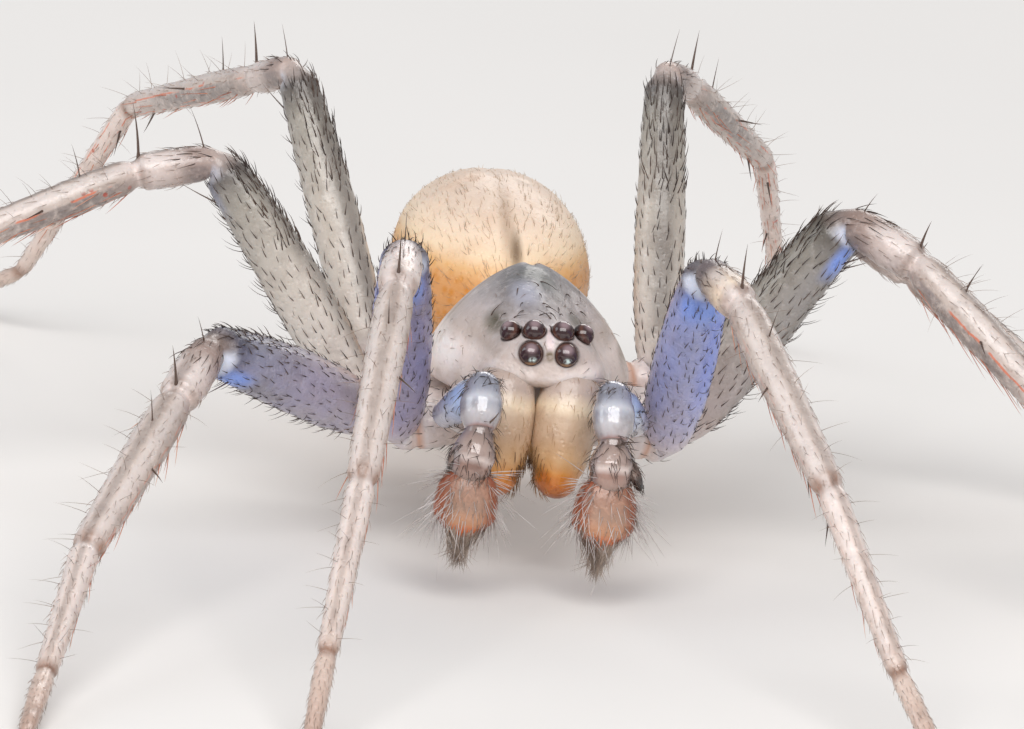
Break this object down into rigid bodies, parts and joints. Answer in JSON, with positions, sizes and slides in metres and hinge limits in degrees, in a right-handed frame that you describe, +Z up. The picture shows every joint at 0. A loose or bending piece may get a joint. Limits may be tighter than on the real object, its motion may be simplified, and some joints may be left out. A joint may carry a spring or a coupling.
{
  "type": "cybaeozyga spider",
  "caption": "Small long-legged spider standing on a flat base: domed head shield, close-set front eyes, hanging palps, an oval abdomen and slender arched legs.",
  "frame": {"origin": "middle of the whole spider's box seen from above, on the floor it stands on", "axes": "+Z up; the head faces -Y and the abdomen +Y; the spider's own right side is at -X"},
  "size_m": [0.0102, 0.0096, 0.0029],
  "materials": {
    "carapace": "pale grey translucent cuticle, softly glossy",
    "abdomen": "soft cream to amber skin, satin",
    "mouthparts": "tan to orange-brown cuticle, glossy",
    "legs": "grey-brown translucent cuticle with a bluish sheen, glossy",
    "palps": "orange-brown translucent cuticle, glossy",
    "eyes": "black-brown, wet gloss"
  },
  "bodies": {
    "root": {"carapace": "carapace", "sternum": "carapace", "pedicel": "carapace", "abdomen": "abdomen", "spinnerets": "abdomen", "labium": "mouthparts", "chelicera_r": "mouthparts", "chelicera_l": "mouthparts", "fang_r": "mouthparts", "fang_l": "mouthparts", "leg_r1_coxa": "legs", "leg_r1_femur": "legs", "leg_r1_tibia": "legs", "leg_r1_tarsus": "legs", "leg_r2_coxa": "legs", "leg_r2_femur": "legs", "leg_r2_tibia": "legs", "leg_r2_tarsus": "legs", "leg_r3_coxa": "legs", "leg_r3_femur": "legs", "leg_r3_tibia": "legs", "leg_r3_tarsus": "legs", "leg_r4_coxa": "legs", "leg_r4_femur": "legs", "leg_r4_tibia": "legs", "leg_r4_tarsus": "legs", "leg_l1_coxa": "legs", "leg_l1_femur": "legs", "leg_l1_tibia": "legs", "leg_l1_tarsus": "legs", "leg_l2_coxa": "legs", "leg_l2_femur": "legs", "leg_l2_tibia": "legs", "leg_l2_tarsus": "legs", "leg_l3_coxa": "legs", "leg_l3_femur": "legs", "leg_l3_tibia": "legs", "leg_l3_tarsus": "legs", "leg_l4_coxa": "legs", "leg_l4_femur": "legs", "leg_l4_tibia": "legs", "leg_l4_tarsus": "legs", "palp_r_coxa": "palps", "palp_r_femur": "palps", "palp_r_patella": "palps", "palp_r_tibia": "palps", "palp_r_cymbium": "palps", "palp_r_bulb": "palps", "palp_l_coxa": "palps", "palp_l_femur": "palps", "palp_l_patella": "palps", "palp_l_tibia": "palps", "palp_l_cymbium": "palps", "palp_l_bulb": "palps", "eye_r_ple": "eyes", "eye_r_pme": "eyes", "eye_r_ale": "eyes", "eye_l_ple": "eyes", "eye_l_pme": "eyes", "eye_l_ale": "eyes"}
  },
  "joints": []
}
